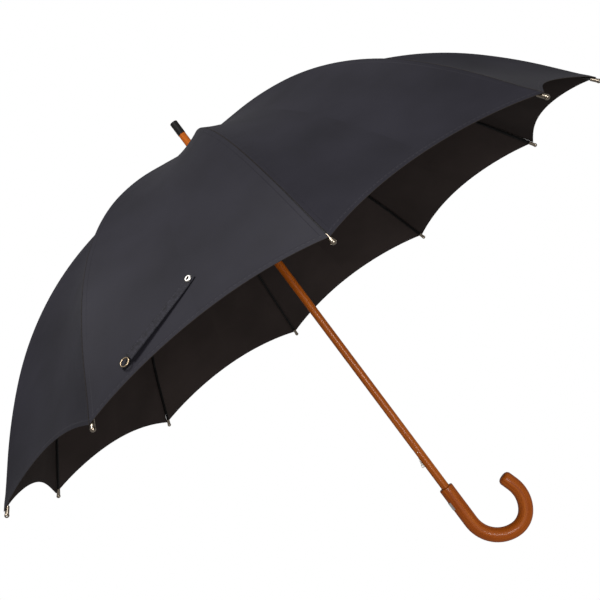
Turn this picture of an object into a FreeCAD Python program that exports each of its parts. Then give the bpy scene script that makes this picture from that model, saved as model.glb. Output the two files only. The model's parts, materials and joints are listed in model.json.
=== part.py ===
import FreeCAD, Part
import math
import os

# Stick umbrella, open. Millimetres, +Z towards the ferrule.
# The origin is the middle of the hand grip, on the axis of the shaft.
# Ten ribs turn at a notch near the top of the shaft. Each rib is propped by a
# stretcher whose lower end turns on a runner that slides along the shaft.

Vector = FreeCAD.Vector
AXIS = Vector(0, 0, 1)
CENTRE = Vector(0, 0, 0)

# ---- driving dimensions -----------------------------------------------------
RIB_COUNT = 10
RIB_PHASE = 24.14            # direction of the first rib, degrees from +X
STRAP_RIB = 7                # the gore after this rib carries the closing strap

SHAFT_R = 7.0
SHAFT_BOTTOM_Z = 4.0         # the shaft is glued this deep into the handle
SPIKE_STEP = 0.6             # the wood above the cloth is this much thinner
SPIKE_ABOVE_NOTCH = 1.0
FERRULE_WALL = 1.6
FERRULE_PROUD = 0.4          # the cap stands this far out of the wood
SPIKE_TOP_Z = 763.0

FERRULE_LENGTH = 25.0
FERRULE_END_WALL = 5.0
FERRULE_ROUND = 1.6
SPIGOT_SHORT = 1.0           # room for glue at the end of the spigot

HANDLE_R = 12.0
HANDLE_TOP_Z = 30.0
HANDLE_STRAIGHT_END_Z = -38.4
HANDLE_TOP_ROUND = 1.5
HANDLE_GLUE_GAP = 0.2        # room for glue under the shaft's end
HANDLE_NOSE_ROUND = 7.0
CROOK_BENDS = ((52.3, 90.0), (37.5, 52.0), (51.5, 55.0))   # radius, degrees
CROOK_END_STRAIGHT = 20.5

BADGE_LENGTH = 14.0
BADGE_WIDTH_ANGLE = 46.0     # degrees round the grip
BADGE_THICKNESS = 0.7
BADGE_ANGLE = 203.0          # direction it faces, degrees from +X

PIVOT_OUT = 5.0              # the pivot wires lie this far outside the shaft
NOTCH_PIVOT_Z = 725.2
RIB_ROOT_SLOPE = 9.5         # degrees below the horizontal
RIB_RUNS = (128.2, 113.5, 246.2, 114.1, 73.9)   # lengths along the rib
RIB_RADII = (0.0, 773.0, 512.0, 838.0, 0.0)     # 0 is a straight run
RIB_DEPTH = 3.6
RIB_WIDTH = 3.2
RIB_WEB = 0.7
EYE_DEPTH = 4.0              # from the top of the rib to its pivot
EYE_R = 1.9
LUG_THICKNESS = 1.6
PIVOT_WIRE_R = 0.6
NECK_LENGTH = 5.0            # between the eye and the rib
NECK_BELOW, NECK_ABOVE = 1.14, 1.4
CHANNEL_START = 9.0          # the rib is solid this far beyond its pivot
RIVET_R = 0.7
RIVET_HEAD_R = 1.5
RIVET_HEAD_THICKNESS = 0.5
JOINT_SHARE = 0.459          # place of the stretcher's joint along the rib
JOINT_DEPTH_SHARE = 0.55     # and down through it

STRETCHER_WIDTH = 2.6
STRETCHER_DEPTH = 3.0
STRETCHER_WEB = 0.6
FORK_EAR_THICKNESS = 0.8
FORK_EAR_LENGTH = 9.0
FORK_LENGTH = 16.0
FORK_LAP = 3.0               # the channel runs this far into the fork
FOOT_LENGTH = 14.0           # flat foot that turns on the runner
FOOT_LAP = 4.0
GROOVE_SHORT = 2.0           # the groove stops this far before the foot

HUB_RIM = 3.0                # a hub reaches this far outside its pivot wire
HUB_HEIGHT = 7.2
HUB_BELOW_PIVOT = 4.6
SLOT_FLOOR = 2.7             # metal left between a lug's slot and the shaft
HUB_SLOT_REACH = 20.0        # the slots are cut clear through the hub, up and down
NOTCH_NECK_WALL = 2.4
NOTCH_NECK_LENGTH = 11.0

RUNNER_LENGTH = 45.0         # below its pivots
RUNNER_WALL = 2.2
RUNNER_FOOT_WALL = 3.8
RUNNER_FOOT_HEIGHT = 5.0
LATCH_SLOT_WIDTH = 3.4
LATCH_SLOT_LENGTH = 16.0
LATCH_SLOT_ABOVE_FOOT = 9.0

SPRING_PIN_R = 0.8
SPRING_PIN_INSET = 4.5       # the spring pins lie this far inside the shaft
SPRING_PIN_BELOW = 3.0       # and this far below the top of the spring
SPRING_THICKNESS = 1.4
SPRING_LOOP_R = 1.3          # the eye in the catch's foot
SPRING_LOOP_WALL = 1.0
SPRING_LOOP_UP = 3.0
SPRING_LENGTH = 30.0
SPRING_HEAD = 3.0            # width of the catch's upper end
SPRING_BACK = 0.5            # its back edge, outside the pin's centre
SPRING_NOSE = ((1.0, 0.4), (0.0, 1.5), (0.0, 4.5), (1.5, 7.0))   # inwards, up from the foot
SPRING_STAND = 4.5           # how far the catch stands out of the shaft
SPRING_SLOT_WIDTH = 3.0
SPRING_SLOT_DEPTH = 8.0
SPRING_SLOT_BELOW, SPRING_SLOT_ABOVE = 2.0, 4.0
SPRING_BELOW_RUNNER = 1.0
HAND_SPRING_ANGLE = 180.0
TOP_SPRING_ANGLE = 180.0
HAND_SPRING_FOOT_Z = 76.0
STOP_PIN_R = 1.0
STOP_PIN_PROUD = 1.8
STOP_PIN_ABOVE_RUNNER = 4.0

CLOTH_THICKNESS = 0.8
CLOTH_START = 18.0           # the shape of the sag is counted along the rib from here
CLOTH_UNDER_CAP = 10.0       # the cloth runs this much further in, under the cap
CLOTH_RISE = 1.3             # inner face above the rib's top at a seam, so the sag clears
HEM_DEPTH = 0.033            # scallop, as a share of the rib's length
SAG_ROOT, SAG_LINEAR, SAG_SQUARE = 0.0764, 0.1608, -0.2494
SAG_STATIONS = 15
CROSS_STATIONS = 7

CAP_WIDTH = 18.0             # from the shaft to the cap's edge
CAP_HEIGHT = 5.0
CAP_THICKNESS = 1.4
CAP_COLLAR = 5.0             # width of the cup's flat top round the stick
CAP_COLLAR_RISE = 1.0

TIP_WALL = 0.3
TIP_BALL_PROUD = 0.5
TIP_OVERLAP = 11.0           # the cap slips this far over the rib's end
TIP_NOSE = 2.2               # the ball's centre beyond the rib's end
TIP_EYE_R = 0.9              # hole for the thread
TIP_EYE_OUT = 1.2            # beyond the ball's centre

STRAP_WIDTH = 12.0
STRAP_THICKNESS = 1.8
STRAP_STAND = 4.5            # gap between the strap and the cloth at its free end
STRAP_STATIONS = 7
STRAP_START_S, STRAP_START_T = 0.847, 0.063   # on the cloth, down and across the gore
STRAP_END_S, STRAP_END_T = 0.930, -0.585
BUTTON_SHARE = 0.06          # place of the button along the strap
BUTTON_R = 4.6
BUTTON_HEIGHT = 2.2
BUTTON_ROUND = 0.7
RING_R = 6.0
RING_WIRE_R = 1.0

# ---- clearances -------------------------------------------------------------
PIN_CLEAR = 0.07             # a wire or rivet in its hole
RUNNER_CLEAR = 0.08          # the runner on the shaft
GLUE_CLEAR = 0.04            # pieces glued or pressed together
SLOT_CLEAR = 0.25            # each side of a lug in its slot
SOFT_CLEAR = 0.3             # cloth to whatever carries it
RING_CLEAR = 0.7             # the strap's end to its ring
SEAM_CLEAR = 0.15            # each side of a seam between two gores

# ---- what follows from them -------------------------------------------------
CLOTH_END_BACK = TIP_OVERLAP + 1.0   # the cloth stops where the tip's cap starts
STEP = 360.0 / RIB_COUNT
HALF = math.radians(STEP / 2)
HANDLE_BORE_R = SHAFT_R + GLUE_CLEAR
SPIKE_R = SHAFT_R - SPIKE_STEP
FERRULE_R = SPIKE_R + FERRULE_PROUD
SPIGOT_R = FERRULE_R - FERRULE_WALL
NOTCH_PIVOT_R = SHAFT_R + PIVOT_OUT
HUB_R = NOTCH_PIVOT_R + HUB_RIM
SLOT_DEPTH_R = SHAFT_R + SLOT_FLOOR
NOTCH_NECK_R = SHAFT_R + NOTCH_NECK_WALL
RUNNER_TUBE_R = SHAFT_R + RUNNER_WALL
RUNNER_FOOT_R = SHAFT_R + RUNNER_FOOT_WALL
STOP_PIN_LENGTH = 2 * (SHAFT_R + STOP_PIN_PROUD)
CAP_R = SHAFT_R + CAP_WIDTH
TIP_SOCKET_HALF = RIB_WIDTH / 2 + SOFT_CLEAR
TIP_SOCKET_DEPTH = RIB_DEPTH / 2 + SOFT_CLEAR
TIP_R = math.hypot(TIP_SOCKET_HALF, TIP_SOCKET_DEPTH) + TIP_WALL
TIP_BALL_R = TIP_R + TIP_BALL_PROUD


def turned(shape, degrees):
    copy = shape.copy()
    copy.rotate(CENTRE, AXIS, degrees)
    return copy


def tube(outer, inner, bottom, height):
    body = Part.makeCylinder(outer, height, Vector(0, 0, bottom), AXIS)
    hole = Part.makeCylinder(inner, height + 2, Vector(0, 0, bottom - 1), AXIS)
    return body.cut(hole)


def box_at(x0, x1, y0, y1, z0, z1):
    return Part.makeBox(x1 - x0, y1 - y0, z1 - z0, Vector(x0, y0, z0))


# ---- the line of a rib ------------------------------------------------------
def rib_line(offset=0.0):
    """Stretches of the rib's top line, or of a line that far below it, in XZ."""
    slope = math.radians(RIB_ROOT_SLOPE)
    x = NOTCH_PIVOT_R + EYE_DEPTH * math.sin(slope)
    z = NOTCH_PIVOT_Z + EYE_DEPTH * math.cos(slope)
    stretches = []
    for length, radius in zip(RIB_RUNS, RIB_RADII):
        turn = length / radius if radius else 0.0
        start = (x, z, slope)
        if radius:
            x += radius * (math.sin(slope + turn) - math.sin(slope))
            z += radius * (math.cos(slope + turn) - math.cos(slope))
        else:
            x += length * math.cos(slope)
            z -= length * math.sin(slope)
        slope += turn
        stretches.append((start, (x, z, slope), length, radius, turn))
    return [(shifted(a, offset), shifted(b, offset), n, r, t) for a, b, n, r, t in stretches]


def shifted(place, offset):
    x, z, slope = place
    return (x - offset * math.sin(slope), z - offset * math.cos(slope), slope)


RIB_LENGTH = sum(RIB_RUNS)


def on_rib(s, offset=0.0):
    """Radius, height and slope at a length s along the rib's top line."""
    index = 0
    while index < len(RIB_RUNS) - 1 and s > RIB_RUNS[index]:
        s -= RIB_RUNS[index]
        index += 1
    x, z, slope = rib_line()[index][0]
    radius = RIB_RADII[index]
    if radius:
        x += radius * (math.sin(slope + s / radius) - math.sin(slope))
        z += radius * (math.cos(slope + s / radius) - math.cos(slope))
        slope += s / radius
    else:
        x += s * math.cos(slope)
        z -= s * math.sin(slope)
    return shifted((x, z, slope), offset)


def line_edges(offset):
    edges = []
    for start, end, length, radius, turn in rib_line(offset):
        a = Vector(start[0], 0, start[1])
        b = Vector(end[0], 0, end[1])
        if radius:
            middle = start[2] + turn / 2
            centre_x = start[0] - (radius - offset) * math.sin(start[2])
            centre_z = start[1] - (radius - offset) * math.cos(start[2])
            m = Vector(centre_x + (radius - offset) * math.sin(middle), 0,
                       centre_z + (radius - offset) * math.cos(middle))
            edges.append(Part.Arc(a, m, b).toShape())
        else:
            edges.append(Part.LineSegment(a, b).toShape())
    return edges


def band(top, bottom, width):
    """A bar that follows the rib, between two depths under its top line."""
    upper = line_edges(top)
    lower = line_edges(bottom)
    first = Part.LineSegment(lower[0].Vertexes[0].Point, upper[0].Vertexes[0].Point).toShape()
    last = Part.LineSegment(upper[-1].Vertexes[-1].Point, lower[-1].Vertexes[-1].Point).toShape()
    wire = Part.Wire(Part.__sortEdges__(upper + [last] + lower + [first]))
    face = Part.Face(wire)
    bar = face.extrude(Vector(0, width, 0))
    bar.translate(Vector(0, -width / 2, 0))
    return bar


JOINT_S = RIB_LENGTH * JOINT_SHARE
JOINT_X, JOINT_Z = on_rib(JOINT_S, RIB_DEPTH * JOINT_DEPTH_SHARE)[:2]
ARM = math.hypot(JOINT_X - NOTCH_PIVOT_R, NOTCH_PIVOT_Z - JOINT_Z)
OPEN_ANGLE = math.degrees(math.atan2(JOINT_X - NOTCH_PIVOT_R, NOTCH_PIVOT_Z - JOINT_Z))
RUNNER_PIVOT_Z = NOTCH_PIVOT_Z - 2 * ARM * math.cos(math.radians(OPEN_ANGLE))
RUNNER_BOTTOM_Z = RUNNER_PIVOT_Z - RUNNER_LENGTH


# ---- ribs -------------------------------------------------------------------
def pin(radius, length, x, z):
    return Part.makeCylinder(radius, length, Vector(x, -length / 2, z), Vector(0, 1, 0))


def make_rib():
    bar = band(0.0, RIB_DEPTH, RIB_WIDTH)
    root_span = (NOTCH_PIVOT_Z - 30, NOTCH_PIVOT_Z + 30)
    groove = band(RIB_WEB, RIB_DEPTH + 2, RIB_WIDTH - 2 * RIB_WEB)
    groove = groove.cut(box_at(0, NOTCH_PIVOT_R + CHANNEL_START, -RIB_WIDTH, RIB_WIDTH, *root_span))
    bar = bar.cut(groove)
    # The root is flattened to a lug that fits its slot in the notch.
    side = (RIB_WIDTH - LUG_THICKNESS) / 2
    reach = HUB_R + 1.0
    for sign in (-1, 1):
        y0 = LUG_THICKNESS / 2 if sign > 0 else -LUG_THICKNESS / 2 - side - 1
        bar = bar.cut(box_at(0, reach, y0, y0 + side + 1, *root_span))
    eye = pin(EYE_R, LUG_THICKNESS, NOTCH_PIVOT_R, NOTCH_PIVOT_Z)
    neck = box_at(NOTCH_PIVOT_R, NOTCH_PIVOT_R + NECK_LENGTH, -LUG_THICKNESS / 2, LUG_THICKNESS / 2,
                  NOTCH_PIVOT_Z - NECK_BELOW, NOTCH_PIVOT_Z + NECK_ABOVE)
    bar = bar.fuse([eye, neck])
    bar = bar.cut(pin(PIVOT_WIRE_R + PIN_CLEAR, LUG_THICKNESS + 2, NOTCH_PIVOT_R, NOTCH_PIVOT_Z))
    bar = bar.cut(pin(RIVET_R + PIN_CLEAR, RIB_WIDTH + 2, JOINT_X, JOINT_Z))
    return bar.removeSplitter()


def make_rivet():
    ear_out = RIB_WIDTH / 2 + SLOT_CLEAR + FORK_EAR_THICKNESS
    length = 2 * (ear_out + PIN_CLEAR + RIVET_HEAD_THICKNESS)
    body = pin(RIVET_R, length, JOINT_X, JOINT_Z)
    heads = []
    for sign in (-1, 1):
        y = sign * (ear_out + PIN_CLEAR)
        y0 = y if sign > 0 else y - RIVET_HEAD_THICKNESS
        heads.append(Part.makeCylinder(RIVET_HEAD_R, RIVET_HEAD_THICKNESS,
                                       Vector(JOINT_X, y0, JOINT_Z), Vector(0, 1, 0)))
    return body.fuse(heads).removeSplitter()


# ---- stretchers -------------------------------------------------------------
def make_stretcher():
    """A channel from the rib's joint down to the runner, built along +X first."""
    fork_y = RIB_WIDTH / 2 + SLOT_CLEAR
    outer_y = fork_y + FORK_EAR_THICKNESS
    foot = ARM - FOOT_LENGTH
    bar = box_at(FORK_LENGTH - FORK_LAP, foot + FOOT_LAP, -STRETCHER_WIDTH / 2, STRETCHER_WIDTH / 2,
                 -STRETCHER_DEPTH / 2, STRETCHER_DEPTH / 2)
    groove = box_at(FORK_LENGTH + FORK_LAP, foot - GROOVE_SHORT, -STRETCHER_WIDTH / 2 + STRETCHER_WEB,
                    STRETCHER_WIDTH / 2 - STRETCHER_WEB,
                    -STRETCHER_DEPTH, STRETCHER_DEPTH / 2 - STRETCHER_WEB)
    bar = bar.cut(groove)
    bridge = box_at(FORK_EAR_LENGTH, FORK_LENGTH, -outer_y, outer_y,
                    -STRETCHER_DEPTH / 2, STRETCHER_DEPTH / 2)
    ears = []
    for sign in (-1, 1):
        y0 = fork_y if sign > 0 else -outer_y
        ears.append(box_at(0, FORK_EAR_LENGTH + 1, y0, y0 + FORK_EAR_THICKNESS,
                           -STRETCHER_DEPTH / 2, STRETCHER_DEPTH / 2))
        ears.append(Part.makeCylinder(STRETCHER_DEPTH / 2, FORK_EAR_THICKNESS,
                                      Vector(0, y0, 0), Vector(0, 1, 0)))
    lug = box_at(foot, ARM, -LUG_THICKNESS / 2, LUG_THICKNESS / 2,
                 -STRETCHER_DEPTH / 2, STRETCHER_DEPTH / 2)
    eye = Part.makeCylinder(EYE_R, LUG_THICKNESS, Vector(ARM, -LUG_THICKNESS / 2, 0), Vector(0, 1, 0))
    body = bar.fuse([bridge, lug, eye] + ears)
    body = body.cut(pin(RIVET_R + PIN_CLEAR, 2 * outer_y + 2, 0, 0))
    body = body.cut(pin(PIVOT_WIRE_R + PIN_CLEAR, LUG_THICKNESS + 2, ARM, 0))
    body = body.removeSplitter()
    # From along +X to down and inwards, then to the joint on the rib.
    body.rotate(CENTRE, Vector(0, 1, 0), 90.0 + OPEN_ANGLE)
    body.translate(Vector(JOINT_X, 0, JOINT_Z))
    return body


# ---- hubs -------------------------------------------------------------------
def hub_slots(pivot_z):
    slot = box_at(SLOT_DEPTH_R, HUB_R + 5, -LUG_THICKNESS / 2 - SLOT_CLEAR,
                  LUG_THICKNESS / 2 + SLOT_CLEAR, pivot_z - HUB_SLOT_REACH, pivot_z + HUB_SLOT_REACH)
    return [turned(slot, RIB_PHASE + i * STEP) for i in range(RIB_COUNT)]


def wire_groove(pivot_z):
    return Part.makeTorus(NOTCH_PIVOT_R, PIVOT_WIRE_R + GLUE_CLEAR, Vector(0, 0, pivot_z), AXIS)


def pivot_wire(pivot_z):
    return Part.makeTorus(NOTCH_PIVOT_R, PIVOT_WIRE_R, Vector(0, 0, pivot_z), AXIS)


def make_notch():
    bottom = NOTCH_PIVOT_Z - HUB_BELOW_PIVOT
    hub = tube(HUB_R, SHAFT_R + GLUE_CLEAR, bottom, HUB_HEIGHT)
    neck = tube(NOTCH_NECK_R, SHAFT_R + GLUE_CLEAR, bottom - NOTCH_NECK_LENGTH, NOTCH_NECK_LENGTH)
    body = hub.fuse(neck).cut(hub_slots(NOTCH_PIVOT_Z))
    return body.cut(wire_groove(NOTCH_PIVOT_Z)).removeSplitter()


def make_runner():
    top = RUNNER_PIVOT_Z + HUB_HEIGHT - HUB_BELOW_PIVOT
    bore = SHAFT_R + RUNNER_CLEAR
    hub = tube(HUB_R, bore, top - HUB_HEIGHT, HUB_HEIGHT)
    sleeve = tube(RUNNER_TUBE_R, bore, RUNNER_BOTTOM_Z, RUNNER_LENGTH)
    foot = tube(RUNNER_FOOT_R, bore, RUNNER_BOTTOM_Z, RUNNER_FOOT_HEIGHT)
    body = hub.cut(hub_slots(RUNNER_PIVOT_Z)).fuse([sleeve, foot])
    body = body.cut(wire_groove(RUNNER_PIVOT_Z))
    slot_bottom = RUNNER_BOTTOM_Z + LATCH_SLOT_ABOVE_FOOT
    slot = box_at(0, HUB_R, -LATCH_SLOT_WIDTH / 2, LATCH_SLOT_WIDTH / 2,
                  slot_bottom, slot_bottom + LATCH_SLOT_LENGTH)
    return body.cut(turned(slot, HAND_SPRING_ANGLE)).removeSplitter()


# ---- shaft, ferrule and springs ---------------------------------------------
def spring_slot(foot_z, angle):
    slot = box_at(SHAFT_R - SPRING_SLOT_DEPTH, SHAFT_R + 2, -SPRING_SLOT_WIDTH / 2,
                  SPRING_SLOT_WIDTH / 2, foot_z - SPRING_SLOT_BELOW,
                  foot_z + SPRING_LENGTH + SPRING_SLOT_ABOVE)
    return turned(slot, angle)


def make_spring(foot_z, angle):
    """A flat catch that leans out of the shaft, square below and sloping above."""
    half = SPRING_THICKNESS / 2
    inner = SHAFT_R - SPRING_PIN_INSET + SPRING_BACK
    outer = SHAFT_R + SPRING_STAND
    top = foot_z + SPRING_LENGTH
    corners = [(inner, foot_z)]
    for inwards, up in SPRING_NOSE:
        corners.append((outer - inwards, foot_z + up))
    corners.append((inner + SPRING_HEAD / 3, top))
    corners.append((inner - SPRING_HEAD * 2 / 3, top))
    points = [Vector(x, -half, z) for x, z in corners]
    face = Part.Face(Part.makePolygon(points + [points[0]]))
    plate = face.extrude(Vector(0, SPRING_THICKNESS, 0))
    pin_hole = Part.makeCylinder(SPRING_PIN_R + PIN_CLEAR, SPRING_THICKNESS + 2,
                                 Vector(SHAFT_R - SPRING_PIN_INSET, -half - 1, top - SPRING_PIN_BELOW),
                                 Vector(0, 1, 0))
    loop = Part.makeCylinder(SPRING_LOOP_R, SPRING_THICKNESS + 2,
                             Vector(outer - SPRING_LOOP_R - SPRING_LOOP_WALL, -half - 1, foot_z + SPRING_LOOP_UP),
                             Vector(0, 1, 0))
    return turned(plate.cut([pin_hole, loop]), angle)


def make_spring_pin(foot_z, angle):
    x, z = SHAFT_R - SPRING_PIN_INSET, foot_z + SPRING_LENGTH - SPRING_PIN_BELOW
    length = 2 * math.sqrt(SHAFT_R ** 2 - (x + SPRING_PIN_R) ** 2) - SOFT_CLEAR
    rod = Part.makeCylinder(SPRING_PIN_R, length, Vector(x, -length / 2, z), Vector(0, 1, 0))
    return turned(rod, angle)


def spring_pin_hole(foot_z, angle):
    x, z = SHAFT_R - SPRING_PIN_INSET, foot_z + SPRING_LENGTH - SPRING_PIN_BELOW
    length = 2 * SHAFT_R
    hole = Part.makeCylinder(SPRING_PIN_R + GLUE_CLEAR, length, Vector(x, -length / 2, z), Vector(0, 1, 0))
    return turned(hole, angle)


TOP_SPRING_FOOT_Z = RUNNER_BOTTOM_Z - SPRING_LENGTH - SPRING_BELOW_RUNNER
STOP_PIN_Z = RUNNER_PIVOT_Z + HUB_HEIGHT - HUB_BELOW_PIVOT + STOP_PIN_R + STOP_PIN_ABOVE_RUNNER
SPIKE_BOTTOM_Z = NOTCH_PIVOT_Z - HUB_BELOW_PIVOT + HUB_HEIGHT + SPIKE_ABOVE_NOTCH


def make_shaft():
    lower = Part.makeCylinder(SHAFT_R, SPIKE_BOTTOM_Z - SHAFT_BOTTOM_Z, Vector(0, 0, SHAFT_BOTTOM_Z), AXIS)
    spike = Part.makeCylinder(SPIKE_R, SPIKE_TOP_Z - SPIKE_BOTTOM_Z, Vector(0, 0, SPIKE_BOTTOM_Z), AXIS)
    spigot_length = FERRULE_LENGTH - FERRULE_END_WALL - SPIGOT_SHORT
    spigot = Part.makeCylinder(SPIGOT_R, spigot_length, Vector(0, 0, SPIKE_TOP_Z), AXIS)
    body = lower.fuse([spike, spigot])
    body = body.cut([spring_slot(HAND_SPRING_FOOT_Z, HAND_SPRING_ANGLE),
                     spring_slot(TOP_SPRING_FOOT_Z, TOP_SPRING_ANGLE),
                     spring_pin_hole(HAND_SPRING_FOOT_Z, HAND_SPRING_ANGLE),
                     spring_pin_hole(TOP_SPRING_FOOT_Z, TOP_SPRING_ANGLE),
                     stop_pin(STOP_PIN_R + GLUE_CLEAR)])
    return body.removeSplitter()


def stop_pin(radius):
    return Part.makeCylinder(radius, STOP_PIN_LENGTH, Vector(0, -STOP_PIN_LENGTH / 2, STOP_PIN_Z),
                             Vector(0, 1, 0))


def make_ferrule():
    outside = Part.makeCylinder(FERRULE_R, FERRULE_LENGTH, Vector(0, 0, SPIKE_TOP_Z), AXIS)
    rim = [e for e in outside.Edges if abs(e.CenterOfMass.z - SPIKE_TOP_Z - FERRULE_LENGTH) < 0.01]
    outside = outside.makeFillet(FERRULE_ROUND, [e for e in rim if e.Length > FERRULE_R])
    bore = Part.makeCylinder(SPIGOT_R + GLUE_CLEAR, FERRULE_LENGTH - FERRULE_END_WALL,
                             Vector(0, 0, SPIKE_TOP_Z), AXIS)
    return outside.cut(bore)


# ---- crook handle -----------------------------------------------------------
def make_handle():
    straight = Part.makeCylinder(HANDLE_R, HANDLE_TOP_Z - HANDLE_STRAIGHT_END_Z,
                                 Vector(0, 0, HANDLE_STRAIGHT_END_Z), AXIS)
    top = [e for e in straight.Edges if abs(e.CenterOfMass.z - HANDLE_TOP_Z) < 0.01 and e.Length > HANDLE_R]
    pieces = [straight.makeFillet(HANDLE_TOP_ROUND, top)]
    place = Vector(0, 0, HANDLE_STRAIGHT_END_Z)
    heading = -90.0
    for radius, sweep in CROOK_BENDS:
        left = direction_xz(heading + 90)
        centre = place + left * radius
        ring = Part.Face(Part.Wire(Part.makeCircle(HANDLE_R, place, direction_xz(heading))))
        pieces.append(ring.revolve(centre, Vector(0, -1, 0), sweep))
        heading += sweep
        place = centre + direction_xz(heading - 90) * radius
    along = direction_xz(heading)
    nose = Part.makeCylinder(HANDLE_R, CROOK_END_STRAIGHT, place, along)
    end = place + along * CROOK_END_STRAIGHT
    rim = [e for e in nose.Edges if (e.CenterOfMass - end).Length < 0.01 and e.Length > HANDLE_R]
    pieces.append(nose.makeFillet(HANDLE_NOSE_ROUND, rim))
    body = pieces[0].fuse(pieces[1:])
    bore = Part.makeCylinder(HANDLE_BORE_R, HANDLE_TOP_Z - SHAFT_BOTTOM_Z + 1,
                             Vector(0, 0, SHAFT_BOTTOM_Z - HANDLE_GLUE_GAP), AXIS)
    return body.cut(bore).removeSplitter()


def direction_xz(degrees):
    a = math.radians(degrees)
    return Vector(math.cos(a), 0, math.sin(a))


def make_badge():
    inner = HANDLE_R + GLUE_CLEAR
    shell = tube(inner + BADGE_THICKNESS, inner, -BADGE_LENGTH / 2, BADGE_LENGTH)
    wedge = Part.makeCylinder(3 * HANDLE_R, BADGE_LENGTH, Vector(0, 0, -BADGE_LENGTH / 2), AXIS,
                              BADGE_WIDTH_ANGLE)
    plate = shell.common(turned(wedge, -BADGE_WIDTH_ANGLE / 2))
    return turned(plate, BADGE_ANGLE)


# ---- cloth ------------------------------------------------------------------
CLOTH_LENGTH = RIB_LENGTH - CLOTH_START


def cloth_point(s, t, height, seam=0.0):
    """A point over the gore that is centred on +X. s runs from the crown to the
    rib's end, t from one rib to the next, and height is above the ribs' top line."""
    radius, z, slope = on_rib(CLOTH_START + s * CLOTH_LENGTH)
    sag = (SAG_ROOT + SAG_LINEAR * s + SAG_SQUARE * s * s) * 2 * radius * math.sin(HALF) * (1 - t * t)
    lift = height - sag
    side = radius * math.sin(HALF)
    return Vector(radius * math.cos(HALF) + lift * math.sin(slope),
                  t * (side - seam),
                  z + lift * math.cos(slope))


def surface_through(rows):
    surface = Part.BSplineSurface()
    surface.interpolate(rows)
    return surface.toShape()


def sheet_solid(lower_rows, upper_rows):
    """A closed solid between two grids of points, joined along their four sides."""
    lower = surface_through(lower_rows)
    upper = surface_through(upper_rows)
    faces = [lower, upper]
    for a in lower.Edges:
        middle = a.valueAt((a.FirstParameter + a.LastParameter) / 2)
        b = min(upper.Edges, key=lambda e: (e.valueAt((e.FirstParameter + e.LastParameter) / 2) - middle).Length)
        faces.append(Part.makeRuledSurface(a, b))
    shell = Part.makeShell(faces)
    shell.sewShape()
    solid = Part.Solid(shell)
    if solid.Volume < 0:
        solid.reverse()
    return solid


def gore_rows(height):
    crown = -CLOTH_UNDER_CAP / CLOTH_LENGTH
    hem_end = 1.0 - CLOTH_END_BACK / CLOTH_LENGTH
    rows = []
    for i in range(SAG_STATIONS):
        share = i / (SAG_STATIONS - 1)
        row = []
        for j in range(CROSS_STATIONS):
            t = 2 * j / (CROSS_STATIONS - 1) - 1
            hem = hem_end * (1 - HEM_DEPTH * (1 - t * t))
            s = crown + share * (hem - crown)
            row.append(cloth_point(s, t, height, SEAM_CLEAR))
        rows.append(row)
    return rows


def make_gore():
    return sheet_solid(gore_rows(CLOTH_RISE), gore_rows(CLOTH_RISE + CLOTH_THICKNESS))


def make_cap():
    """A shallow cloth cup that covers the gathered top of the cloth."""
    radius, z, slope = on_rib(CLOTH_START)
    rise = math.tan(slope)
    over = CLOTH_RISE + CLOTH_THICKNESS + SOFT_CLEAR
    edge_z = z + (radius - CAP_R) * rise + over
    inner_r = SPIKE_R + GLUE_CLEAR
    inner_z = edge_z + CAP_HEIGHT
    middle_r = inner_r + CAP_COLLAR
    profile = [(CAP_R, edge_z), (CAP_R, edge_z + CAP_THICKNESS), (middle_r, inner_z),
               (inner_r, inner_z + CAP_COLLAR_RISE), (inner_r, inner_z - CAP_THICKNESS),
               (middle_r, inner_z - CAP_THICKNESS)]
    points = [Vector(r, 0, h) for r, h in profile]
    face = Part.Face(Part.makePolygon(points + [points[0]]))
    return face.revolve(CENTRE, AXIS, 360)


# ---- tips -------------------------------------------------------------------
def make_tip():
    """A round cap over the rib's end, with a ball nose and an eye for the thread."""
    sleeve = Part.makeCylinder(TIP_R, TIP_OVERLAP + 1.0, Vector(-TIP_OVERLAP, 0, 0), Vector(1, 0, 0))
    ball = Part.makeSphere(TIP_BALL_R, Vector(TIP_NOSE, 0, 0))
    body = sleeve.fuse(ball)
    socket = box_at(-TIP_OVERLAP - 1, SOFT_CLEAR, -TIP_SOCKET_HALF, TIP_SOCKET_HALF,
                    -TIP_SOCKET_DEPTH, TIP_SOCKET_DEPTH)
    eye = Part.makeCylinder(TIP_EYE_R, 4 * TIP_R, Vector(TIP_NOSE + TIP_EYE_OUT, -2 * TIP_R, 0),
                            Vector(0, 1, 0))
    body = body.cut([socket, eye])
    x, z, slope = on_rib(RIB_LENGTH, RIB_DEPTH / 2)
    body.rotate(CENTRE, Vector(0, 1, 0), math.degrees(slope))
    body.translate(Vector(x, 0, z))
    return body


# ---- closing strap ----------------------------------------------------------
def cloth_frame(s, t):
    """Place and outward normal on the gore's outer face."""
    top = CLOTH_RISE + CLOTH_THICKNESS
    place = cloth_point(s, t, top)
    down = cloth_point(s + 0.01, t, top) - cloth_point(s - 0.01, t, top)
    across = cloth_point(s, t + 0.02, top) - cloth_point(s, t - 0.02, top)
    normal = down.cross(across)
    normal.normalize()
    if normal.x < 0:
        normal = normal * -1
    return place, normal


def strap_place(u):
    """Place and outward normal on the cloth at a share u of the strap's length."""
    s = STRAP_START_S + (STRAP_END_S - STRAP_START_S) * u
    t = STRAP_START_T + (STRAP_END_T - STRAP_START_T) * u
    return cloth_frame(s, t)


def strap_line(u):
    """Place, outward normal and direction along the strap."""
    place, normal = strap_place(u)
    along = strap_place(u + 0.02)[0] - strap_place(u - 0.02)[0]
    along = along - normal * along.dot(normal)
    along.normalize()
    return place, normal, along


def strap_lift(u):
    """How far the strap's under side stands off the cloth."""
    return SOFT_CLEAR + (STRAP_STAND - SOFT_CLEAR) * u


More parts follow.
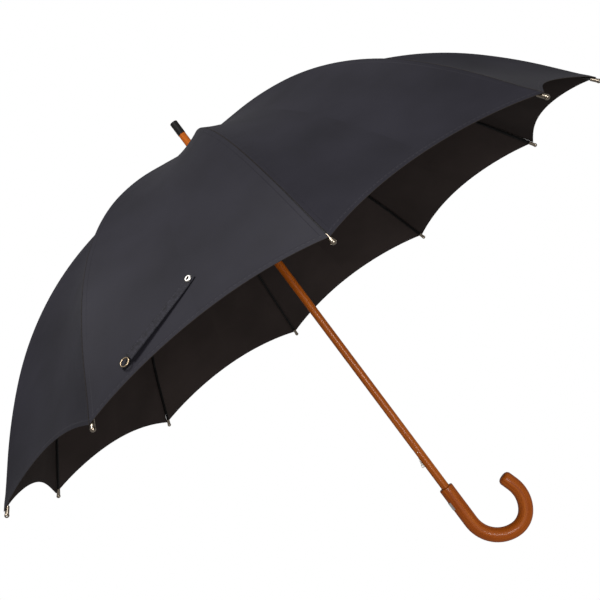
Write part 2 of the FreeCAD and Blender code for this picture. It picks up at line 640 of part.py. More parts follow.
def strap_rows(height):
    rows = []
    for i in range(STRAP_STATIONS):
        u = i / (STRAP_STATIONS - 1)
        place, normal, along = strap_line(u)
        across = normal.cross(along)
        lift = strap_lift(u) + height
        rows.append([place + normal * lift + across * (STRAP_WIDTH * w / 2) for w in (-1, -0.33, 0.33, 1)])
    return rows


def make_strap():
    return sheet_solid(strap_rows(0.0), strap_rows(STRAP_THICKNESS))


def strap_end():
    place, normal, along = strap_line(1.0)
    return place + normal * (STRAP_STAND + STRAP_THICKNESS / 2), normal, along


def make_strap_ring():
    place, normal, along = strap_end()
    centre = place + along * (RING_R + RING_WIRE_R + RING_CLEAR)
    return Part.makeTorus(RING_R, RING_WIRE_R, centre, normal)


def make_button():
    """The snap that holds the strap to the cloth, on top of the strap's root."""
    place, normal, along = strap_line(BUTTON_SHARE)
    base = place + normal * (strap_lift(BUTTON_SHARE) + STRAP_THICKNESS + SOFT_CLEAR)
    disc = Part.makeCylinder(BUTTON_R, BUTTON_HEIGHT, base, normal)
    top = [e for e in disc.Edges if (e.CenterOfMass - base).Length > BUTTON_HEIGHT * 0.9 and e.Length > BUTTON_R]
    return disc.makeFillet(BUTTON_ROUND, top)


# ---- writing the nodes ------------------------------------------------------
def save(shape, name):
    if shape.ShapeType == "Compound" and len(shape.Solids) == 1:
        shape = shape.Solids[0]
    shape.exportStep("parts/" + name + ".step")


def main():
    os.makedirs("parts", exist_ok=True)
    save(make_shaft(), "shaft")
    save(make_handle(), "crook_handle")
    save(make_badge(), "handle_badge")
    save(make_ferrule(), "ferrule_cap")
    save(make_notch(), "top_notch")
    save(pivot_wire(NOTCH_PIVOT_Z), "notch_wire")
    save(make_cap(), "canopy_cap")
    save(stop_pin(STOP_PIN_R), "stop_pin")
    save(make_runner(), "runner")
    save(pivot_wire(RUNNER_PIVOT_Z), "runner_wire")
    save(make_spring(HAND_SPRING_FOOT_Z, HAND_SPRING_ANGLE), "hand_spring")
    save(make_spring(TOP_SPRING_FOOT_Z, TOP_SPRING_ANGLE), "top_spring")
    pins = [make_spring_pin(HAND_SPRING_FOOT_Z, HAND_SPRING_ANGLE),
            make_spring_pin(TOP_SPRING_FOOT_Z, TOP_SPRING_ANGLE)]
    save(Part.makeCompound(pins), "spring_pins")
    rib = Part.makeCompound([make_rib(), make_rivet()])
    stretcher = make_stretcher()
    tip = make_tip()
    gore = turned(make_gore(), STEP / 2)
    for i in range(RIB_COUNT):
        angle = RIB_PHASE + i * STEP
        number = "_%02d" % (i + 1)
        save(turned(rib, angle), "rib" + number)
        save(turned(stretcher, angle), "stretcher" + number)
        save(turned(tip, angle), "tip" + number)
        save(turned(gore, angle), "gore" + number)
    strap_angle = RIB_PHASE + (STRAP_RIB - 0.5) * STEP
    save(turned(make_strap(), strap_angle), "strap")
    save(turned(make_strap_ring(), strap_angle), "strap_ring")
    save(turned(make_button(), strap_angle), "strap_button")
    report(strap_angle)


def report(strap_angle):
    """Prints the places of the joints, in millimetres."""
    print("NOTCH", NOTCH_PIVOT_R, NOTCH_PIVOT_Z)
    print("JOINT", JOINT_X, JOINT_Z)
    print("ARM", ARM, OPEN_ANGLE)
    print("RUNNER", RUNNER_PIVOT_Z, RUNNER_BOTTOM_Z)
    print("TIP", *on_rib(RIB_LENGTH)[:2])
    place, normal, along = strap_line(0.0)
    root = turned(Part.Vertex(place + normal * SOFT_CLEAR), strap_angle).Point
    axis = direction_of(along.cross(normal), strap_angle)
    print("STRAP", *root, *axis)
    place, normal, along = strap_end()
    ring = turned(Part.Vertex(place + along * (RING_CLEAR + RING_WIRE_R)), strap_angle).Point
    print("RING", *ring, *axis)
    print("SPRINGS", HAND_SPRING_FOOT_Z, TOP_SPRING_FOOT_Z)


def direction_of(vector, angle):
    end = turned(Part.Vertex(vector), angle).Point
    end.normalize()
    return end


main()
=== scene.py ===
# %% [markdown]
# # An open stick umbrella
# The frame comes first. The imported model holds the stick, the ribs, the stretchers and
# the runner at their real size, so everything below is built around it, in metres.

# %% Load the frame
import json
import math

import bmesh
import bpy
from mathutils import Matrix, Vector


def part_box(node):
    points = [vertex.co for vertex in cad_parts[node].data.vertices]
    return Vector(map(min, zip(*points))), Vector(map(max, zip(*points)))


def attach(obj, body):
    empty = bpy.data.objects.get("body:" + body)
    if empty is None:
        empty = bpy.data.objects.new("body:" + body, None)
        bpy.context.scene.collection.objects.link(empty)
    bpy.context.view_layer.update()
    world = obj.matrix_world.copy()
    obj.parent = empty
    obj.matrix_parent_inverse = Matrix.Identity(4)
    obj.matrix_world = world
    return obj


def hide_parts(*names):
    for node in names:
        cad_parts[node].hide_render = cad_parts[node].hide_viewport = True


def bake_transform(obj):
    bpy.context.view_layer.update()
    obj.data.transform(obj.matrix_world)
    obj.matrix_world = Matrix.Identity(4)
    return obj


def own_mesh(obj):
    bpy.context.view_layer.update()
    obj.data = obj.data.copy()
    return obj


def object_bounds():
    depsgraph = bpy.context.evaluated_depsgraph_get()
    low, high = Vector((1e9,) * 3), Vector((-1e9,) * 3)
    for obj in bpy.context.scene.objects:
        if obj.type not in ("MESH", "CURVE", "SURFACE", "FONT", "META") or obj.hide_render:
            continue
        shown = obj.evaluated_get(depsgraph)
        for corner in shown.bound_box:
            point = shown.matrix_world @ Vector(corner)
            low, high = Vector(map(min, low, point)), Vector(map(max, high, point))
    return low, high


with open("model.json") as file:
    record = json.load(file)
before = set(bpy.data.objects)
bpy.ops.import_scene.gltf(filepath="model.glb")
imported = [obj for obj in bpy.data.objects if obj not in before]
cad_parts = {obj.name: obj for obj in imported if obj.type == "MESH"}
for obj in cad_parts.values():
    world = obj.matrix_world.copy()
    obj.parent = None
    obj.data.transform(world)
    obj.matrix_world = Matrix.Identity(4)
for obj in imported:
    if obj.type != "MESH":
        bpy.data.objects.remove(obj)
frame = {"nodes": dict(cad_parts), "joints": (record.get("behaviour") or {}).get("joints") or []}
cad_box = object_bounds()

MM = 0.001
JOINTS = {joint["name"]: joint for joint in frame["joints"]}

# %% [markdown]
# ## The line of a rib
# Every rib follows one line: straight at the crown, then three arcs that tighten and
# ease again, then straight to the tip. The cloth hangs on these lines, so one small
# function that walks along the line is the base of the ribs, the cloth and the strap.

# %% The rib line and the umbrella's own sizes
RIB_COUNT = 10
RIB_PHASE = math.radians(24.14)
STEP = math.tau / RIB_COUNT
PIVOT_R = 12.0 * MM
PIVOT_Z = 725.2 * MM
EYE_DEPTH = 4.0 * MM
ROOT_SLOPE = math.radians(9.5)
RIB_RUNS = [length * MM for length in (128.2, 113.5, 246.2, 114.1, 73.9)]
RIB_RADII = [radius * MM for radius in (0, 773, 512, 838, 0)]
RIB_LENGTH = sum(RIB_RUNS)


def on_rib(s):
    """Radius, height and slope at a length s along the rib's top line."""
    slope = ROOT_SLOPE
    r = PIVOT_R + EYE_DEPTH * math.sin(slope)
    z = PIVOT_Z + EYE_DEPTH * math.cos(slope)
    for index, (length, radius) in enumerate(zip(RIB_RUNS, RIB_RADII)):
        last = index == len(RIB_RUNS) - 1
        part = s if last else min(s, length)
        if radius:
            turn = part / radius
            r += radius * (math.sin(slope + turn) - math.sin(slope))
            z += radius * (math.cos(slope + turn) - math.cos(slope))
            slope += turn
        else:
            r += part * math.cos(slope)
            z -= part * math.sin(slope)
        s -= part
        if s <= 0:
            break
    return r, z, slope


print("rib length %.0f mm, tip at radius %.0f mm" % (RIB_LENGTH / MM, on_rib(RIB_LENGTH)[0] / MM))

# %% [markdown]
# ## The shape of the cloth
# Between two ribs the cloth is stretched, and a stretched sheet between two curved
# edges sags towards the inside. The sag is a parabola across the gore, deepest half
# way down the rib. Along the hem the cloth is cut in a shallow scallop.

# %% A point of the cloth
CLOTH_START = 18.0 * MM
CLOTH_LENGTH = RIB_LENGTH - CLOTH_START
CLOTH_END = 1.0 - 3.0 * MM / CLOTH_LENGTH
CLOTH_RISE = 1.3 * MM
TIP_RISE = 0.9 * MM             # the corners lie over the tips' caps
CAP_FROM, CAP_RAMP = 0.955, 0.02   # where the cloth starts to rise, and over what share
SAG = (0.0764, 0.1608, -0.2494)    # constant, slope and curve of the sag, as shares of the width
CLOTH_THICK = 0.7 * MM
HEM_DEPTH = 0.0465


def sag_share(s):
    return SAG[0] + SAG[1] * s + SAG[2] * s * s


def cloth_point(s, x, height):
    """A point near the rib that lies along +X.
    x is -1 and 1 at the middles of the two gores beside it."""
    r, z, slope = on_rib(CLOTH_START + s * CLOTH_LENGTH)
    side = 1 if x >= 0 else -1
    t = abs(x) - 1
    half = STEP / 2
    width = r * math.sin(half)
    over_cap = min(1.0, max(0.0, (s - CAP_FROM) / CAP_RAMP))
    lift = height + TIP_RISE * over_cap * t * t - sag_share(s) * 2 * width * (1 - t * t)
    along = r * math.cos(half) + lift * math.sin(slope)
    across = t * width
    angle = half * side
    return Vector((along * math.cos(angle) - side * across * math.sin(angle),
                   along * math.sin(angle) + side * across * math.cos(angle),
                   z + lift * math.cos(slope)))


def cloth_normal(s, x, side):
    """Outward normal, found from four points close by, all on one side of the rib."""
    d = 0.002
    near = max(abs(x), 1e-9)
    a = cloth_point(s, side * max(near - d, 1e-9), 0)
    b = cloth_point(s, side * (near + d), 0)
    c = cloth_point(s - d, side * near, 0)
    e = cloth_point(s + d, side * near, 0)
    normal = (b - a).cross(e - c)
    normal.normalize()
    return normal if normal.z + normal.x > 0 else -normal


def hem_at(x):
    t = abs(x) - 1
    return CLOTH_END * (1 - HEM_DEPTH * (1 - t * t))


def s_at_joint():
    """The share of the cloth's length at which the stretcher's joint lies, by halving."""
    target = Vector(JOINTS["stretcher_01_hinge"]["pos_m"]).xy.length
    low, high = 0.0, 1.0
    for _ in range(30):
        middle = (low + high) / 2
        if on_rib(CLOTH_START + middle * CLOTH_LENGTH)[0] < target:
            low = middle
        else:
            high = middle
    return low


S_JOINT = s_at_joint()
print("the stretchers meet the ribs at %.2f of the cloth's length" % S_JOINT)

# %% [markdown]
# ## Making materials
# A colour is written as the sRGB hex value that the eye reads, and one function turns
# it to the linear numbers that the shader needs. One more function adds a node.


# %% Colour and node helpers
def linear(hex_colour):
    value = hex_colour.lstrip("#")
    channels = [int(value[i:i + 2], 16) / 255 for i in (0, 2, 4)]
    return tuple(c / 12.92 if c <= 0.04045 else ((c + 0.055) / 1.055) ** 2.4 for c in channels) + (1.0,)


def add_node(material, kind, settings=None, **links):
    """Adds a node. settings are its properties and constant inputs, links its linked inputs."""
    tree = material.node_tree
    node = tree.nodes.new(kind)
    for name, value in (settings or {}).items():
        if hasattr(node, name):
            setattr(node, name, value)
        else:
            node.inputs[name].default_value = value
    for name, source in links.items():
        key = int(name[1:]) if name[1:].isdigit() else name.replace("_", " ")
        socket = node.inputs[key]
        tree.links.new(source, socket)
    return node


def new_material(name, colour, roughness, **settings):
    material = bpy.data.materials.new(name)
    material.use_nodes = True
    shader = material.node_tree.nodes["Principled BSDF"]
    shader.inputs["Base Color"].default_value = linear(colour)
    shader.inputs["Roughness"].default_value = roughness
    for socket, value in settings.items():
        shader.inputs[socket.replace("_", " ")].default_value = value
    return material, shader


def link(material, output, socket):
    material.node_tree.links.new(output, socket)


def colour_ramp(material, fac, stops):
    ramp = add_node(material, "ShaderNodeValToRGB", i0=fac)
    elements = ramp.color_ramp.elements
    while len(elements) < len(stops):
        elements.new(0.5)
    for element, (place, colour) in zip(elements, stops):
        element.position = place
        element.color = linear(colour)
    return ramp.outputs["Color"]


# %% [markdown]
# ## Cloth
# The canopy is a close polyester satin. Its threads are about 0.15 mm apart, too fine
# to see, so the weave is drawn at 1.1 mm and kept faint. The dye is almost black with a
# little blue in it, and the gloss is low, so the cloth shows soft slow tones and no hard
# shine. A second UV map gives each point's distance from the seam and from the hem, in
# metres, and the seam's groove, its folded allowance, the puckers beside it and the
# stitched hem are all drawn from those two distances. The groove is also painted darker,
# as painted shade down in the seam.


# %% Satin cloth
CLOTH_LOW, CLOTH_HIGH = "#19181d", "#1f1e24"
LINING_LOW, LINING_HIGH = "#2c2624", "#342d2b"
WEAVE = 1.1 * MM
SEAM_GROOVE = 0.8 * MM
SEAM_ALLOWANCE = 6.0 * MM
HEM_FOLD = 7.0 * MM
STITCH = 3.4 * MM


def maths(material, operation, first, second, third=None):
    """A Math node. Each input is an output to link or a number."""
    node = add_node(material, "ShaderNodeMath", {"operation": operation})
    for socket, value in zip(node.inputs, (first, second, third)):
        if value is None:
            continue
        if isinstance(value, (int, float)):
            socket.default_value = value
        else:
            link(material, value, socket)
    return node.outputs[0]


def fade(material, value, start, end):
    """1 where value is below start, falling smoothly to 0 at end."""
    node = add_node(material, "ShaderNodeMapRange",
                    {"interpolation_type": "SMOOTHSTEP", "From Min": start, "From Max": end,
                     "To Min": 1.0, "To Max": 0.0}, Value=value)
    return node.outputs[0]


def mix_colour(material, share, first, second):
    node = add_node(material, "ShaderNodeMix", {"data_type": "RGBA"})
    link(material, share, node.inputs[0])
    for socket, value in ((node.inputs[6], first), (node.inputs[7], second)):
        if isinstance(value, str):
            socket.default_value = linear(value)
        else:
            link(material, value, socket)
    return node.outputs[2]


def make_cloth(name, low, high, painted_groove_shade, roughness, gloss):
    """A satin: slow tones between low and high; the groove colour is painted shade laid down in the seam's
    groove.
    """
    material, shader = new_material(name, high, roughness, Specular_IOR_Level=gloss)
    place = add_node(material, "ShaderNodeUVMap", {"uv_map": "UVMap"}).outputs["UV"]
    edges = add_node(material, "ShaderNodeUVMap", {"uv_map": "SeamMap"}).outputs["UV"]
    both = add_node(material, "ShaderNodeSeparateXYZ", Vector=edges)
    from_seam = maths(material, "ABSOLUTE", both.outputs[0], None)
    from_hem = both.outputs[1]

    slow = add_node(material, "ShaderNodeTexNoise",
                    {"Scale": 9.0, "Detail": 3.0, "Roughness": 0.5}, Vector=place)
    tone = colour_ramp(material, slow.outputs[0], [(0.3, low), (0.7, high)])
    # The groove's mask sinks the seam in the bump and also paints it darker there: painted shade.
    groove_depth_and_shade = fade(material, from_seam, SEAM_GROOVE * 0.5, SEAM_GROOVE)
    tone = mix_colour(material, groove_depth_and_shade, tone, painted_groove_shade)

    along_hem = maths(material, "PINGPONG", both.outputs[0], STITCH)
    row = HEM_FOLD - 1.2 * MM
    off_row = maths(material, "ABSOLUTE", maths(material, "SUBTRACT", from_hem, row), None)
    thread = maths(material, "MULTIPLY", fade(material, off_row, 0.3 * MM, 0.6 * MM),
                   fade(material, along_hem, STITCH * 0.55, STITCH * 0.7))
    tone = mix_colour(material, maths(material, "MULTIPLY", thread, 0.6), tone, "#333236")
    link(material, tone, shader.inputs["Base Color"])

    weave = add_node(material, "ShaderNodeTexWave",
                     {"wave_type": "BANDS", "bands_direction": "DIAGONAL", "Scale": 1 / (3 * WEAVE)},
                     Vector=place)
    stretched = add_node(material, "ShaderNodeMapping", {"Scale": (14.0, 90.0, 1.0)}, Vector=edges)
    pucker = add_node(material, "ShaderNodeTexNoise", {"Scale": 1.0, "Detail": 2.0},
                      Vector=stretched.outputs[0])
    near_seam = fade(material, from_seam, SEAM_ALLOWANCE, 5 * SEAM_ALLOWANCE)
    near_hem = fade(material, from_hem, HEM_FOLD, 3 * HEM_FOLD)
    pulled = maths(material, "MULTIPLY", pucker.outputs[0], maths(material, "MAXIMUM", near_seam, near_hem))
    folded = maths(material, "MAXIMUM", fade(material, from_seam, SEAM_ALLOWANCE, SEAM_ALLOWANCE + 1.0 * MM),
                   fade(material, from_hem, HEM_FOLD, HEM_FOLD + 1.0 * MM))
    folded = maths(material, "SUBTRACT", folded, maths(material, "MULTIPLY", groove_depth_and_shade, 1.5))
    height = maths(material, "MULTIPLY_ADD", weave.outputs["Fac"], 0.12, folded)
    height = maths(material, "MULTIPLY_ADD", pulled, 2.2, height)
    height = maths(material, "MULTIPLY_ADD", thread, 0.8, height)
    bumps = add_node(material, "ShaderNodeBump", {"Strength": 0.55, "Distance": 0.5 * MM}, Height=height)
    link(material, bumps.outputs[0], shader.inputs["Normal"])
    return material


# The third colour of each is painted shade down in the seam's groove, darkest on the lining side.
cloth_outside = make_cloth("satin_cloth_outside", CLOTH_LOW, CLOTH_HIGH, "#131216", 0.6, 0.08)
cloth_inside = make_cloth("satin_cloth_inside", LINING_LOW, LINING_HIGH, "#080707", 0.85, 0.04)
cloth_edge = make_cloth("cloth_cut_edge", "#2b2623", "#3a332e", "#2b2623", 0.7, 0.1)
print("cloth materials made")

# %% [markdown]
# ## Wood, metal and enamel
# The stick is a light hardwood under a clear varnish, and the crook is the same wood
# stained redder and bent in steam, so its grain runs round the bend. The grain lines
# are about 1 mm wide and 40 mm long. The crook keeps, in an attribute, where each
# point lay in the straight rod, and its grain is drawn there. To the eye the stick is
# a warm even brown with a thin wet gloss, and the crook is redder and softer.


# %% Wood
def make_wood(name, dark, middle, light, roughness, bent):
    """Long thin grain lines along Z. A bent piece gives each point its place in the straight rod."""
    material, shader = new_material(name, middle, roughness, Coat_Weight=0.1, Coat_Roughness=0.12,
                                    Specular_IOR_Level=0.12)
    if bent:
        source = add_node(material, "ShaderNodeAttribute",
                          {"attribute_name": "grain_place"}).outputs["Vector"]
    else:
        source = add_node(material, "ShaderNodeTexCoord").outputs["Object"]
    fine = add_node(material, "ShaderNodeMapping", {"Scale": (1100, 1100, 28)}, Vector=source)
    grain = add_node(material, "ShaderNodeTexNoise", {"Scale": 1.0, "Detail": 3.0, "Roughness": 0.55},
                     Vector=fine.outputs[0])
    wide = add_node(material, "ShaderNodeMapping", {"Scale": (220, 220, 5)}, Vector=source)
    figure = add_node(material, "ShaderNodeTexNoise", {"Scale": 1.0, "Detail": 2.0}, Vector=wide.outputs[0])
    both = add_node(material, "ShaderNodeMix", {"data_type": "FLOAT", "Factor": 0.5})
    link(material, grain.outputs[0], both.inputs[2])
    link(material, figure.outputs[0], both.inputs[3])
    colour = colour_ramp(material, both.outputs[0], [(0.36, dark), (0.5, middle), (0.64, light)])
    pores = fade(material, grain.outputs[0], 0.3, 0.36)
    colour = mix_colour(material, maths(material, "MULTIPLY", pores, 0.6), colour, dark)
    link(material, colour, shader.inputs["Base Color"])
    bumps = add_node(material, "ShaderNodeBump", {"Strength": 0.05, "Distance": 0.1 * MM},
                     Height=grain.outputs[0])
    link(material, bumps.outputs[0], shader.inputs["Normal"])
    return material


shaft_wood = make_wood("varnished_beech", "#884008", "#a04f10", "#af5f1c", 0.38, bent=False)
handle_wood = make_wood("stained_steam_bent_wood", "#843a06", "#98480c", "#a65616", 0.45, bent=True)
print("wood materials made")


# %% Metals and enamel
def make_plain(name, colour, roughness, metallic, speckle, **settings):
    """A finish whose roughness varies a little, as handling and plating leave it."""
    material, shader = new_material(name, colour, roughness, Metallic=metallic, **settings)
    where = add_node(material, "ShaderNodeTexCoord").outputs["Object"]
    noise = add_node(material, "ShaderNodeTexNoise", {"Scale": speckle, "Detail": 3.0}, Vector=where)
    spread = add_node(material, "ShaderNodeMapRange", {"To Min": roughness - 0.08, "To Max": roughness + 0.1},
                      Value=noise.outputs[0])
    link(material, spread.outputs[0], shader.inputs["Roughness"])
    return material


# Nickel plate is a warm grey mirror, softened by handling.
nickel = make_plain("nickel_plate", "#8c8173", 0.28, 1.0, 400)
# A new snap is paler and scatters light widely, so it reads as a bright ring.
bright_nickel = make_plain("bright_nickel", "#f0ece4", 0.45, 1.0, 400)
# Old plated wire has yellowed.
aged_nickel = make_plain("aged_nickel_wire", "#8d7d66", 0.3, 1.0, 400)
# Drawn steel is a dark neutral grey, so a thin wire shows against white.
spring_steel = make_plain("drawn_spring_steel", "#6f6d69", 0.35, 1.0, 300)
# Stoved enamel is black with a soft highlight. On the ribs it is worn duller.
enamel = make_plain("black_stove_enamel", "#141414", 0.4, 0.0, 250)
rib_enamel = make_plain("black_rib_enamel", "#0b0a0a", 0.5, 0.0, 250, Specular_IOR_Level=0.25)
# A moulded cap is a flat black with little reflection.
ferrule_plastic = make_plain("black_moulded_cap", "#0b0a0a", 0.4, 0.0, 200, Specular_IOR_Level=0.25)
# A polished plate is the palest metal here.
plate_chrome = make_plain("polished_plate", "#c9c7c2", 0.3, 1.0, 300)


# %% Put finishes on the pieces that stay as they are
def finish_node(name, material):
    mesh = frame["nodes"][name].data
    mesh.materials.clear()
    mesh.materials.append(material)


for node in ("notch_wire", "runner_wire", "hand_spring", "top_spring", "spring_pins", "stop_pin"):
    finish_node(node, spring_steel)
for node in ("top_notch", "runner"):
    finish_node(node, enamel)
finish_node("shaft", shaft_wood)
finish_node("ferrule_cap", ferrule_plastic)
finish_node("handle_badge", plate_chrome)
for i in range(RIB_COUNT):
    finish_node("stretcher_%02d" % (i + 1), rib_enamel)
    finish_node("tip_%02d" % (i + 1), nickel)


# %% A helper that turns a bmesh into an object
SHARP = math.radians(50)      # edges that turn more than this stay crisp


def to_object(bm, name, materials, smooth=True):
    mesh = bpy.data.meshes.new(name)
    bm.to_mesh(mesh)
    bm.free()
    for material in materials:
        mesh.materials.append(material)
    if smooth:
        mesh.shade_smooth()
        mesh.set_sharp_from_angle(angle=SHARP)
    piece = bpy.data.objects.new(name, mesh)
    bpy.context.scene.collection.objects.link(piece)
    return piece


# %% [markdown]
# ## The canopy
# Ten gores are sewn into one sheet, and each seam lies on a rib. When the umbrella
# closes, the cloth beside each rib gathers against that rib. So the sheet is divided at
# its seams and half way between the ribs, where a real canopy creases, and across at
# the stretchers' joints, where a rib bends. Each section is a grid whose points are
# moved onto the cloth's surface. A grid is quick to bend and keeps an even weave. The
# normals are set from the same formula, so no join shows.


# %% A section of the cloth
def cloth_section(name, rib, side, start, end, columns, rows):
    """Cloth on one side of a rib, from start(x) to end(x) along it, as a closed thin sheet."""
    bm = bmesh.new()
    uv = bm.loops.layers.uv.new("UVMap")
    seam = bm.loops.layers.uv.new("SeamMap")
    bmesh.ops.create_grid(bm, x_segments=columns, y_segments=rows, size=1.0, calc_uvs=True)
    for vertex in bm.verts:
        x, v = side * (vertex.co.x + 1) / 2, (vertex.co.y + 1) / 2
        s = start(x) + (end(x) - start(x)) * v
        vertex.co = cloth_point(s, x + side * 1e-9, CLOTH_RISE + CLOTH_THICK)
    bmesh.ops.recalc_face_normals(bm, faces=bm.faces)
    if sum(f.normal.z for f in bm.faces) < 0:
        bmesh.ops.reverse_faces(bm, faces=bm.faces)
    bmesh.ops.solidify(bm, geom=bm.faces[:], thickness=CLOTH_THICK)
    normals = []
    for face in bm.faces:
        facing = 0.0
        own = []
        for loop in face.loops:
            x, v = side * loop[uv].uv.x, loop[uv].uv.y
            s = start(x) + (end(x) - start(x)) * v
            own.append(cloth_normal(s, x, side))
            facing += own[-1].dot(face.normal)
        facing /= len(own)
        if abs(facing) > 0.7:
            face.material_index = 0 if facing > 0 else 1
            normals += [n if facing > 0 else -n for n in own]
        else:
            face.material_index = 2
            normals += [face.normal.copy()] * len(own)
    for face in bm.faces:
        for loop in face.loops:
            x, v = side * loop[uv].uv.x, loop[uv].uv.y
            s = start(x) + (end(x) - start(x)) * v
            from_seam = x * on_rib(CLOTH_START + s * CLOTH_LENGTH)[0] * math.sin(STEP / 2)
            loop[uv].uv = (from_seam + rib * 0.37, s * CLOTH_LENGTH)
            loop[seam].uv = (from_seam, (hem_at(x) - s) * CLOTH_LENGTH)
    piece = to_object(bm, name, [cloth_outside, cloth_inside, cloth_edge])
    turn = Matrix.Rotation(RIB_PHASE + rib * STEP, 3, "Z")
    piece.data.transform(turn.to_4x4())
    piece.data.normals_split_custom_set([turn @ n for n in normals])
    return piece


UNDER_CUP = 14.0 * MM                # the cloth runs this far in under the crown's cup


def place_on_rib(rib, s):
    angle = RIB_PHASE + rib * STEP
    r, z, slope = on_rib(CLOTH_START + s * CLOTH_LENGTH)
    return Vector((r * math.cos(angle), r * math.sin(angle), z))


def fold_with(piece, rib, side, body, first, last):
    """The piece rides on a body and gets a mesh of its own.
    first and last are the ends of that part of the rib, as shares of the cloth's length."""
    chord = RIB_PHASE + (rib + side / 2) * STEP
    run = (place_on_rib(rib, last) - place_on_rib(rib, first)).normalized()
    axis = side * Vector((-math.sin(chord), math.cos(chord), 0))
    axis = (axis - run * axis.dot(run)).normalized()
    places = [place_on_rib(rib, first + (last - first) * k / 20) for k in range(21)]
    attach(piece, body)
    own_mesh(piece)


def flat_cut(side, start, end):
    """Width, length and area of one section's flat cloth, summed over small patches."""
    strips = 40
    area = 0.0
    for k in range(strips):
        x = side * (k + 0.5) / strips
        for m in range(strips):
            s = start(x) + (end(x) - start(x)) * (m + 0.5) / strips
            r = on_rib(CLOTH_START + s * CLOTH_LENGTH)[0]
            area += r * math.sin(STEP / 2) * (end(x) - start(x)) * CLOTH_LENGTH / strips ** 2
    widest = on_rib(CLOTH_START + end(0) * CLOTH_LENGTH)[0] * math.sin(STEP / 2)
    return widest, (end(0) - start(0)) * CLOTH_LENGTH, area


def from_crown(x):
    return -UNDER_CUP / CLOTH_LENGTH


def at_joint(x):
    return S_JOINT


def hang(part, rib, side, start, end, rows, body):
    name = "canopy_%s_%02d_%s" % (part, rib + 1, "left" if side > 0 else "right")
    piece = cloth_section(name, rib, side, start, end, 14, rows)
    fold_with(piece, rib, side, "%s_%02d" % (body, rib + 1), start(0), end(0))
    width, length, area = flat_cut(side, start, end)
    return piece, area


for i in range(RIB_COUNT):
    for side in (1, -1):
        hang("upper", i, side, from_crown, at_joint, 24, "rib")
        hang("lower", i, side, at_joint, hem_at, 30, "tip")
    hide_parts("gore_%02d" % (i + 1))


# %% [markdown]
# ## Ribs
# A rib is a channel rolled from spring steel, enamelled black. The frame's rib has the
# right section, so a copy of it is cut across every few millimetres near the
# stretcher's joint, where the rib bends when the umbrella closes.


# %% Ribs cut across near the joint
BEND_REACH = 25.0 * MM         # the bend is spread this far each side of the joint
BEND_CUTS = 5                  # cuts on each side
BEND_SLOPE = 0.55              # fall of the rib at the joint
def bending_rib(i):
    number = "%02d" % (i + 1)
    angle = RIB_PHASE + i * STEP
    out = Vector((math.cos(angle), math.sin(angle), 0))
    joint = Vector(JOINTS["stretcher_%s_hinge" % number]["pos_m"])
    bm = bmesh.new()
    bm.from_mesh(frame["nodes"]["rib_" + number].data)
    bmesh.ops.remove_doubles(bm, verts=bm.verts, dist=1e-6)
    for k in range(-BEND_CUTS, BEND_CUTS + 1):
        bmesh.ops.bisect_plane(bm, geom=bm.verts[:] + bm.edges[:] + bm.faces[:], dist=1e-7,
                               plane_co=joint + out * k * BEND_REACH / BEND_CUTS, plane_no=out)
    piece = to_object(bm, "rib_channel_" + number, [rib_enamel], smooth=False)
    slope = Vector((out.x, out.y, -BEND_SLOPE))
    slope.normalize()
    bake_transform(piece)
    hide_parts("rib_" + number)
    return piece


ribs = [bending_rib(i) for i in range(RIB_COUNT)]
print("ribs:", len(ribs), "with", len(ribs[0].data.vertices), "points each")

# %% [markdown]
# ## Crook handle
# The handle is a straight rod bent in steam round three tightening curves. A disc is
# pushed down the straight part, then spun round each bend's centre, which is how the
# shape is made in the workshop too.

# %% The crook
HANDLE_R = 12.0 * MM
HANDLE_TOP = 30.0 * MM
STRAIGHT_END = -38.4 * MM
BENDS = [(52.3 * MM, 90.0), (37.5 * MM, 52.0), (51.5 * MM, 55.0)]
NOSE_LENGTH = 20.5 * MM
NOSE_ROUND = 7.0 * MM
BORE_R = 7.05 * MM             # the stick's hole, seen from the top
BORE_DEPTH = 4.0 * MM
TOP_ROUND = 1.5 * MM


def in_xz(degrees):
    a = math.radians(degrees)
    return Vector((math.cos(a), 0, math.sin(a)))


